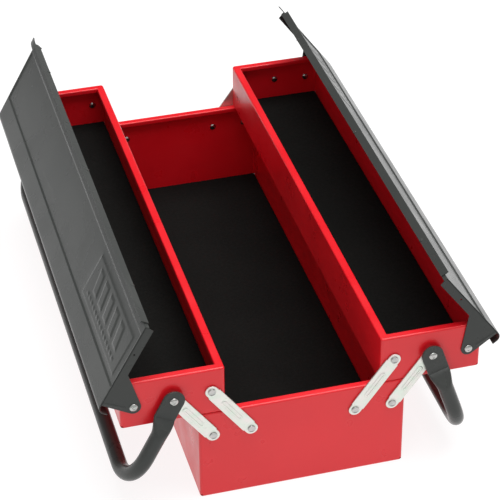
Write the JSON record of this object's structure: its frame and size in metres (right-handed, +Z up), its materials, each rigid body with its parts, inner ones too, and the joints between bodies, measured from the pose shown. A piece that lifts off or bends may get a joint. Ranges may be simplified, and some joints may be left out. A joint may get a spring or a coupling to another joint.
{
  "type": "cantilever toolbox",
  "caption": "Steel cantilever toolbox with lidded trays that swing out over the box on parallel links, and folding tube handles.",
  "frame": {"origin": "middle of the box's flat underside", "axes": "+X to the right tray, +Y along the box from front to rear, +Z up; the box stands with both trays open"},
  "size_m": [0.3833, 0.5672, 0.2139],
  "materials": {
    "red_paint": "gloss",
    "grey_paint": "satin",
    "zinc": "satin",
    "foam": "matte"
  },
  "bodies": {
    "box": {"box_shell": "red_paint", "box_liner": "foam", "box_link_rivets": "zinc"},
    "left_inner_links": {"left_front_inner_link": "zinc", "left_rear_inner_link": "zinc"},
    "left_outer_links": {"left_front_outer_link": "zinc", "left_rear_outer_link": "zinc"},
    "left_tray": {"left_tray_shell": "red_paint", "left_tray_liner": "foam", "left_tray_link_rivets": "zinc", "left_handle_rivets": "zinc", "left_lid_rivets": "zinc", "left_handle_washers": "zinc"},
    "left_lid": {"left_lid": "grey_paint", "left_closing_strip": "grey_paint", "left_strip_rivets": "zinc"},
    "left_handle": {"left_handle": "grey_paint"},
    "right_inner_links": {"right_front_inner_link": "zinc", "right_rear_inner_link": "zinc"},
    "right_outer_links": {"right_front_outer_link": "zinc", "right_rear_outer_link": "zinc"},
    "right_tray": {"right_tray_shell": "red_paint", "right_tray_liner": "foam", "right_tray_link_rivets": "zinc", "right_handle_rivets": "zinc", "right_lid_rivets": "zinc", "right_handle_washers": "zinc"},
    "right_lid": {"right_lid": "grey_paint", "right_closing_strip": "grey_paint", "right_strip_rivets": "zinc"},
    "right_handle": {"right_handle": "grey_paint"}
  },
  "joints": [
    {"name": "left_links_swing", "type": "hinge", "parent": "box", "child": "left_inner_links", "pos_m": [-0.0504, 0, 0.074], "axis": [0, 1, 0], "range_deg": [0, 71.9]},
    {"name": "left_outer_links_swing", "type": "hinge", "parent": "box", "child": "left_outer_links", "pos_m": [-0.0868, 0, 0.074], "axis": [0, 1, 0], "range_deg": [0, 71.9]},
    {"name": "left_tray_swing", "type": "hinge", "parent": "left_inner_links", "child": "left_tray", "pos_m": [-0.0874, 0, 0.125], "axis": [0, 1, 0], "range_deg": [-71.9, 0]},
    {"name": "left_lid_hinge", "type": "hinge", "parent": "left_tray", "child": "left_lid", "pos_m": [-0.1602, 0, 0.1228], "axis": [0, -1, 0], "range_deg": [-60.5, 49.5]},
    {"name": "left_handle_hinge", "type": "hinge", "parent": "left_outer_links", "child": "left_handle", "pos_m": [-0.1238, 0, 0.125], "axis": [0, 1, 0], "range_deg": [-34.5, 104.5]},
    {"name": "right_links_swing", "type": "hinge", "parent": "box", "child": "right_inner_links", "pos_m": [0.0504, 0, 0.074], "axis": [0, -1, 0], "range_deg": [0, 71.9]},
    {"name": "right_outer_links_swing", "type": "hinge", "parent": "box", "child": "right_outer_links", "pos_m": [0.0868, 0, 0.074], "axis": [0, -1, 0], "range_deg": [0, 71.9]},
    {"name": "right_tray_swing", "type": "hinge", "parent": "right_inner_links", "child": "right_tray", "pos_m": [0.0874, 0, 0.125], "axis": [0, -1, 0], "range_deg": [-71.9, 0]},
    {"name": "right_lid_hinge", "type": "hinge", "parent": "right_tray", "child": "right_lid", "pos_m": [0.1602, 0, 0.1228], "axis": [0, 1, 0], "range_deg": [-53.5, 56.5]},
    {"name": "right_handle_hinge", "type": "hinge", "parent": "right_outer_links", "child": "right_handle", "pos_m": [0.1238, 0, 0.125], "axis": [0, -1, 0], "range_deg": [-26, 113]}
  ],
  "couplings": [
    {"joint": "left_outer_links_swing", "follows": "left_links_swing", "ratio": 1},
    {"joint": "left_tray_swing", "follows": "left_links_swing", "ratio": -1},
    {"joint": "right_outer_links_swing", "follows": "right_links_swing", "ratio": 1},
    {"joint": "right_tray_swing", "follows": "right_links_swing", "ratio": -1}
  ]
}
